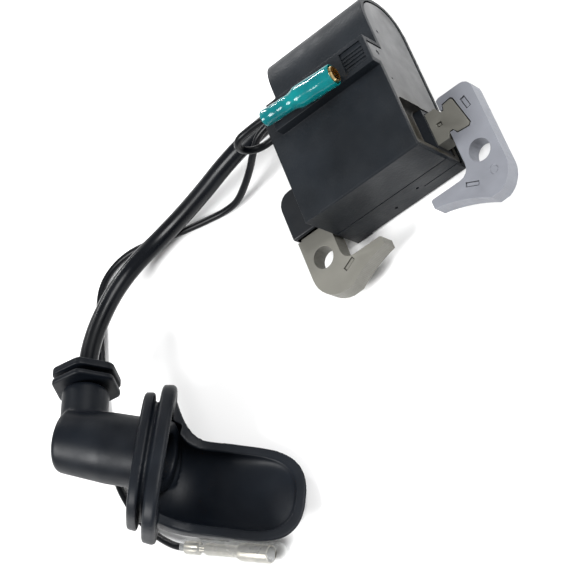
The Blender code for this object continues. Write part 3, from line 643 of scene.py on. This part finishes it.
def build_case():
    right = CASE_HIGH.x
    case = round_edges(case_form(0.0, right), 0.55, 4)
    combine(case, case_form(WALL, right + 1.0))
    combine(case, hub_window(CASE_LOW.x - 1, CASE_LOW.x + WALL + 1))
    for centre, radius in (
        (LEAD_EXIT, LEAD_RADIUS + HOLE_SPARE), (CLEAR_WIRE_EXIT, WIRE_RADIUS + HOLE_SPARE),
        (GREEN_WIRE_EXIT, WIRE_RADIUS + HOLE_SPARE),
    ):
        combine(case, raw(rod_bm(-1, WALL + 1, radius, 32), place=frame_along(centre, (1, 0, 0))))
    for height, start in GROOVES:
        low = (start, CASE_LOW.y - 1, height - GROOVE_HALF)
        combine(case, raw(box_bm(low, (right + 1, CASE_LOW.y + GROOVE_DEPTH, height + GROOVE_HALF))))
    for x, z in PIPS:
        pip = rod_bm(-1, PIP_DEPTH, PIP_RADIUS, 20)
        combine(case, raw(pip, place=frame_along((x, CASE_LOW.y, z), (0, 1, 0))))
    build_shelf_panel(case)
    place(case, "case_shell", FINISHES["case_plastic"], "coil", "case_plastic", ["coil_case"])


def build_shelf_panel(case):
    """The ribbed recess at the shelf's right end."""
    left, right = 8.4, CASE_HIGH.x - 1.3
    low, high = SHELF_BOTTOM + 1.4, SHELF_TOP - 1.0
    depth, pitch, half_rib = 0.5, 1.0, 0.26
    floor = CASE_HIGH.z - depth
    combine(case, raw(box_bm((left, low, floor), (right, high, CASE_HIGH.z + 1))))
    count = int((high - low) / pitch)
    for k in range(count):
        y = low + pitch * (k + 0.5)
        corner = (left - 0.2, y - half_rib, floor - 0.2)
        rib = box_bm(corner, (right + 0.2, y + half_rib, CASE_HIGH.z - 0.25))
        combine(case, raw(rib), "UNION")


def build_resin():
    left, right = RESIN_LOW.x, RESIN_HIGH.x
    resin = round_edges(raw(prism_bm(end_profile(WALL + GAP), left, right)), 0.35, 3)
    combine(resin, hub_window(left - 1, right + 1))
    pocket = raw(box_bm(
        (right - POCKET_DEPTH, BAR_BOTTOM - HUB_GROW - 0.2, CORE_FRONT + HUB_GROW - 0.5),
        (right + 1, BAR_TOP + HUB_GROW + 0.3, CASE_FRONT - WALL - 0.8),
    ))
    round_edges(pocket, 1.2, 4)
    combine(resin, pocket)
    for y, z, radius in BUBBLES:
        bubble = turned_bm([(-radius, 0)] + [
            (-radius * math.cos(a), radius * math.sin(a)) for a in (math.pi * k / 8 for k in range(1, 8))
        ] + [(radius, 0)], 20, closed=False)
        combine(resin, raw(bubble, place=frame_along((right, y, z), (1, 0, 0))))
    place(resin, "resin_end", FINISHES["grey_resin"], "coil", "grey_resin", ["potting_resin"], sharp=35)


# Core and cover ------------------------------------------------------------------------------------------


def interlock(stack, centre, length, width, angle):
    """A punched lock mark: a crisp slot with one raised step inside."""
    turn = Matrix.Rotation(math.radians(angle), 4, "Z")
    turn.translation = Vector((*centre, 0))
    half, side = length / 2, width / 2
    slot = raw(box_bm((-half, -side, CORE_FRONT - MARK_DEPTH), (half, side, CORE_FRONT + 1)), place=turn)
    low = (-half + 0.3, -side + 0.25, CORE_FRONT - MARK_DEPTH - 0.1)
    step = box_bm(low, (half - 0.3, side - 0.25, CORE_FRONT - MARK_STEP_DEPTH))
    combine(slot, raw(step, place=turn))
    combine(stack, slot)


def build_core():
    for node, name, slot, marks in (
        ("core_bar_and_left_leg", "left_stack", "core_steel", LEFT_MARKS),
        ("right_leg", "right_stack", "leg_steel", RIGHT_MARKS),
    ):
        stack = round_edges(copy_of(node), 0.07, 2, 40)
        for x, y, length, width, angle in marks:
            interlock(stack, (x, y), length, width, angle)
        place(stack, name, FINISHES[slot], "coil", slot, [node], sharp=18)


def build_leg_cover():
    cover = round_edges(copy_of("left_leg_cover"), 0.5, 4, 40)
    finish = FINISHES["bobbin_plastic"]
    place(cover, "leg_cover", finish, "coil", "bobbin_plastic", ["left_leg_cover"])


def build_gland():
    profile = [
        (0.3, LEAD_RADIUS + GAP), (0.3, GLAND_RADIUS - 0.3), (0.6, GLAND_RADIUS), (1.3, GLAND_RADIUS),
    ]
    for k in range(3):
        start = 1.4 + k * 1.05
        radius = GLAND_RADIUS - 0.25 - k * 0.3
        profile += [(start, radius - 0.35), (start + 0.3, radius - 0.35)]
        profile += [(start + 0.4, radius), (start + 0.9, radius - 0.1)]
    profile += [(GLAND_LENGTH, GLAND_RADIUS - 1.2), (GLAND_LENGTH, LEAD_RADIUS + GAP)]
    gland = raw(turned_bm(profile, 64))
    at = frame_along(LEAD_EXIT, (-1, 0, 0))
    place(gland, "lead_collar", FINISHES["black_rubber"], "coil", "black_rubber", ["lead_gland"], at)


# Plug cap, seal and grommet ------------------------------------------------------------------------------


def build_cap():
    corner = 1.8
    profile = [(CAP_BACK, 0)]
    for k in range(9):
        a = math.pi / 2 * k / 8
        profile.append((
            CAP_BACK + corner * (1 - math.cos(a)), BACK_RADIUS - corner * (1 - math.sin(a)),
        ))
    profile += [
        (TAPER_END, CAP_RADIUS), (CAP_MOUTH - 0.5, CAP_RADIUS),
        (CAP_MOUTH, CAP_RADIUS - 0.5), (CAP_MOUTH, 0),
    ]
    cap = raw(turned_bm(profile, 96, closed=False))
    elbow = frame_along((0, 0, 0), ELBOW_LOCAL)
    tube = [(0, 0), (0, ELBOW_RADIUS), (ELBOW_REACH - 0.8, ELBOW_RADIUS), (ELBOW_REACH, ELBOW_RADIUS - 0.8),
            (ELBOW_REACH, 0)]
    combine(cap, raw(turned_bm(tube, 72, closed=False), place=elbow), "UNION")
    combine(cap, raw(rod_bm(-2.0, CAP_MOUTH + 1, PLUG_BORE)))
    combine(cap, raw(rod_bm(2.0, ELBOW_REACH + 1, LEAD_RADIUS + GAP), place=elbow))
    mould(cap, RUBBER_VOXEL, 6)
    finish = FINISHES["black_rubber"]
    return place(cap, "cap_body", finish, "cap", "black_rubber", ["plug_cap"], CAP_FRAME, 0)


def oval(half_e, half_s, power, count):
    points = []
    for k in range(count):
        a = 2 * math.pi * k / count
        c, s = math.cos(a), math.sin(a)
        points.append((
            half_e * math.copysign(abs(c) ** (2 / power), c),
            half_s * math.copysign(abs(s) ** (2 / power), s),
        ))
    return points


def scoop_flare(a):
    """How far the scoop's elbow side spreads out where it runs up into the flange."""
    return 9.0 * min(1.0, max(0.0, 1 - (a - SCOOP_ROOT) / 11.0)) ** 2.6


def scoop_rim(a):
    rise = max(0.0, 1 - (a - 22.0) / 13.0)
    return -2.0 + 6.0 * rise ** 2.2


def scoop_half_width(a, inset):
    end = SCOOP_END - inset
    share = min(1.0, max(0.0, (a - NOSE_START) / (end - NOSE_START)))
    return max(0.0, (SCOOP_HALF_WIDTH - inset) * (1 - share ** 3.6) ** (1 / 2.5))


def scoop_bm(inset, lift, stations=44, around=40):
    start = 21.0
    sections = []
    for k in range(stations + 1):
        a = start + (SCOOP_END - inset - start - 0.05) * (1 - (1 - k / stations) ** 1.6)
        width = max(0.6, scoop_half_width(a, inset))
        centre = SCOOP_OFFSET + 0.04 * (a - SCOOP_ROOT)
        nose = width / (SCOOP_HALF_WIDTH - inset)
        depth = (12.4 - 0.225 * (a - SCOOP_ROOT) - inset) * (0.35 + 0.65 * nose)
        rim = scoop_rim(a)
        wide = width + scoop_flare(a + 0.8 * inset)
        points = []
        for j in range(around + 1):
            t = math.pi * j / around
            reach = wide if t < math.pi / 2 else width
            points.append((centre + reach * math.cos(t), rim - depth * abs(math.sin(t)) ** 0.8))
        if lift:
            top = rim + lift if a > SCOOP_ROOT else RECESS_TOP
            points += [(centre - width, top), (centre + wide, top)]
        sections.append([(a, e, s) for e, s in points])
    return loft_bm(sections)


def build_seal():
    """The small ring, the panel groove, the flange and the scoop, sheared along the cap."""
    steps = [
        (15.4, 16.8, 11.8), (15.8, 17.6, 12.3), (18.0, 17.8, 12.5), (18.4, 17.2, 12.1),
        (18.5, 15.2, 11.5), (19.9, 15.2, 11.5), (20.0, 19.8, 12.2), (20.4, 20.5, 12.8),
        (22.9, 20.8, 13.0), (23.7, 20.4, 12.8), (24.0, 19.8, 12.2),
    ]
    sections = [
        [(a, SEAL_OFFSET + e, s) for e, s in oval(half_e, half_s, 3.0, 96)] for a, half_e, half_s in steps
    ]
    shear = Matrix.Identity(4)
    shear[0][1], shear[0][2] = SEAL_SWING, SEAL_LEAN
    seal = raw(loft_bm(sections), place=shear)
    combine(seal, raw(scoop_bm(0.0, 0.0), place=shear), "UNION")
    inside = raw(scoop_bm(RIM_WIDTH, 12.0), place=shear)
    combine(inside, raw(box_bm((0, -40, -40), (SCOOP_ROOT - FLANGE_RECESS, 40, 40)), place=shear))
    combine(seal, inside)
    combine(seal, raw(rod_bm(SEAL_BORE_START, SEAL_BORE_END, CAP_RADIUS + GAP, 96)))
    mould(seal, RUBBER_VOXEL, 5)
    finish = FINISHES["black_rubber"]
    return place(seal, "seal_and_scoop", finish, "cap", "black_rubber", ["cowl_seal"], CAP_FRAME, 0)


def hexagon(reach):
    points = []
    for k in range(6):
        corner = math.radians(60 * k + 30)
        for step in (-9, -4, 0, 4, 9):
            a = corner + math.radians(step)
            r = reach * (1.0 - 0.035 * (step / 9) ** 2)
            points.append((r * math.cos(a), r * math.sin(a)))
    return points


def build_grommet():
    start = GROMMET_START
    steps = [
        (0.0, GROMMET_RADIUS - 0.4), (0.3, GROMMET_RADIUS), (1.5, GROMMET_RADIUS), (1.5, 6.2), (2.9, 6.2),
        (2.9, GROMMET_RADIUS), (4.9, GROMMET_RADIUS), (5.2, GROMMET_RADIUS - 0.5),
    ]
    sections = [[(start + a, y, z) for y, z in hexagon(reach)] for a, reach in steps]
    grommet = raw(loft_bm(sections))
    combine(grommet, raw(rod_bm(start - 1, start + 7, LEAD_RADIUS + 0.6)))
    mould(grommet, 0.25, 3)
    at = CAP_FRAME @ frame_along((0, 0, 0), ELBOW_LOCAL)
    finish = FINISHES["black_rubber"]
    return place(grommet, "grommet", finish, "grommet", "black_rubber", ["lead_grommet"], at, 0)


# Leads and connectors ------------------------------------------------------------------------------------


def green_route():
    """Out of the case, back over itself in one turn and into the green sleeve."""
    end = (GREEN_END - GREEN_START).normalized()
    bend = (GREEN_START.z - GREEN_WIRE_EXIT.z) / 2
    middle = Vector((CASE_LOW.x - 3.2, GREEN_WIRE_EXIT.y, GREEN_WIRE_EXIT.z + bend))
    turn = []
    for k in range(9):
        a = math.radians(270 - 22.5 * k)
        turn.append(middle + Vector((math.cos(a) * bend, 0, math.sin(a) * bend)))
    start = [GREEN_WIRE_EXIT + Vector((3.5, 0, 0)), GREEN_WIRE_EXIT]
    return start + turn + [GREEN_START - end * 2.0, GREEN_START + end * 2.4]


def build_cord(name, node, route, radius, slot):
    points = smooth_path(route, radius * 0.9)
    curve = bpy.data.curves.new(name, "CURVE")
    curve.dimensions = "3D"
    curve.bevel_depth = radius * MM
    curve.bevel_resolution = 10
    curve.use_fill_caps = True
    spline = curve.splines.new("POLY")
    spline.points.add(len(points) - 1)
    for knot, point in zip(spline.points, points):
        knot.co = (*(point * MM), 1)
    spline.use_smooth = True
    curve.materials.append(FINISHES[slot])
    cord = bpy.data.objects.new(name, curve)
    bpy.context.collection.objects.link(cord)
    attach(cord, "coil")
    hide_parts(node)


def sleeve(length, narrow, wide, wall, split, name, slot, body, node, at):
    """A soft sleeve with a narrow neck, a shoulder, a wide end and slightly flattened sides."""

    def squeezed(along, angle):
        share = min(1.0, max(0.0, (along - split) / 3.0))
        return 1.0 + 0.022 * math.cos(2 * angle) * share + 0.008 * math.cos(6 * angle + along)

    outer = [(0, narrow - 0.2), (0.3, narrow)]
    inner = []
    steps = 26
    for k in range(steps + 1):
        along = 0.4 + (length - 0.6) * k / steps
        blend = min(1.0, max(0.0, (along - split) / 2.4))
        blend = blend * blend * (3 - 2 * blend)
        radius = narrow + (wide - narrow) * blend
        radius += 0.05 * math.sin(along * 2.1) * (1 - blend)
        outer.append((along, radius))
        inner.append((along, radius - wall))
    profile = outer + [(length, wide - 0.12), (length, wide - wall + 0.05)]
    profile += inner[::-1] + [(0, narrow - wall)]
    made = raw(turned_bm(profile, 72, shape=squeezed))
    return place(made, name, FINISHES[slot], body, slot, [node], at)


def terminal(crimp, barrel_start, length, crimp_radius, barrel_radius, name, slot, node, at):
    """A rolled receptacle: insulation crimp, conductor crimp, neck and round barrel with a seam."""

    def rolled(along, angle):
        top = math.exp(-((math.sin((angle - math.pi / 2) / 2)) ** 2) / 0.02)
        on_crimp = 1.0 if along < barrel_start - 1.6 else 0.0
        return 1.0 - 0.16 * top * on_crimp + 0.05 * on_crimp * math.cos(2 * angle)

    profile = [
        (crimp, WIRE_RADIUS + GAP), (crimp, crimp_radius - 0.1), (crimp + 0.2, crimp_radius),
        (crimp + 2.2, crimp_radius * 0.97), (crimp + 4.4, crimp_radius), (crimp + 4.6, crimp_radius - 0.15),
        (crimp + 4.9, 1.0), (crimp + 6.4, 1.0),
        (crimp + 6.7, crimp_radius - 0.3), (crimp + 7.2, crimp_radius - 0.1),
        (barrel_start - 1.6, crimp_radius - 0.1), (barrel_start - 1.0, crimp_radius + 0.1),
        (barrel_start, barrel_radius - 0.1), (barrel_start + 0.5, barrel_radius),
        (length - 0.3, barrel_radius), (length, barrel_radius - 0.12), (length, barrel_radius - 0.4),
        (barrel_start + 0.6, barrel_radius - 0.45),
        (barrel_start + 0.6, 0), (crimp + 4.0, 0), (crimp + 4.0, WIRE_RADIUS + GAP),
    ]
    made = raw(turned_bm(profile, 64, closed=True, shape=rolled))
    seam = box_bm((barrel_start + 1.2, -0.14, 0.6), (length + 1, 0.14, barrel_radius + 1))
    combine(made, raw(seam))
    return place(made, name, FINISHES[slot], "coil", slot, [node], at, 30)


def build_connectors():
    green_at = frame_along(GREEN_START, GREEN_END - GREEN_START)
    green_length = (GREEN_END - GREEN_START).length
    clear_at = frame_along(CLEAR_START, CLEAR_END - CLEAR_START)
    clear_length = (CLEAR_END - CLEAR_START).length
    green = [
        sleeve(
            green_length, 2.2, 2.9, SLEEVE_WALL, 9.0,
            "teal_sleeve", "green_vinyl", "green_cover", "green_sleeve", green_at,
        ),
        terminal(
            2.0, 13.0, green_length + 0.6, 1.5, 2.2, "teal_receptacle", "brass", "green_terminal", green_at,
        ),
    ]
    clear = [
        sleeve(
            clear_length, 2.4, 3.1, SLEEVE_WALL, 14.0,
            "clear_tube", "clear_vinyl", "clear_cover", "clear_sleeve", clear_at,
        ),
        terminal(
            0.8, 19.0, clear_length - 3.2, 1.7, 2.4,
            "clear_receptacle", "tinned_brass", "clear_terminal", clear_at,
        ),
    ]
    return green, clear


def build_leads():
    mouth = ELBOW_CENTRE + ELBOW_AXIS * ELBOW_REACH
    into_cap = [mouth + ELBOW_AXIS * reach for reach in (8.2, 4.0, 0.0, -4.0, -8.4)]
    build_cord("plug_lead", "ht_lead", LEAD_ROUTE + into_cap, LEAD_RADIUS, "lead_jacket")
    clear_axis = (CLEAR_END - CLEAR_START).normalized()
    clear_end = [CLEAR_START - clear_axis * 1.5, CLEAR_START + clear_axis * 3.4]
    build_cord("stop_wire", "clear_end_lead", CLEAR_ROUTE + clear_end, WIRE_RADIUS, "wire_jacket")
    build_cord("switch_wire", "green_end_lead", green_route(), WIRE_RADIUS, "wire_jacket")


def dress_kept_nodes():
    """The CAD nodes that stay, mostly inside the case, get their finish."""
    slots = {entry["node"]: entry["material_slot"] for entry in frame["record"]["subparts"]}
    for node, piece in frame["nodes"].items():
        piece.data.materials.clear()
        piece.data.materials.append(FINISHES[slots[node]])


def main():
    build_camera()
    dress_kept_nodes()
    cap_pieces = [build_cap(), build_seal(), build_grommet()]
    cap_pieces += [frame["nodes"]["plug_spring"], frame["nodes"]["plug_terminal_cup"]]
    green, clear = build_connectors()
    build_leads()
    build_stage()
    build_case()
    build_resin()
    build_core()
    build_leg_cover()
    build_gland()


main()
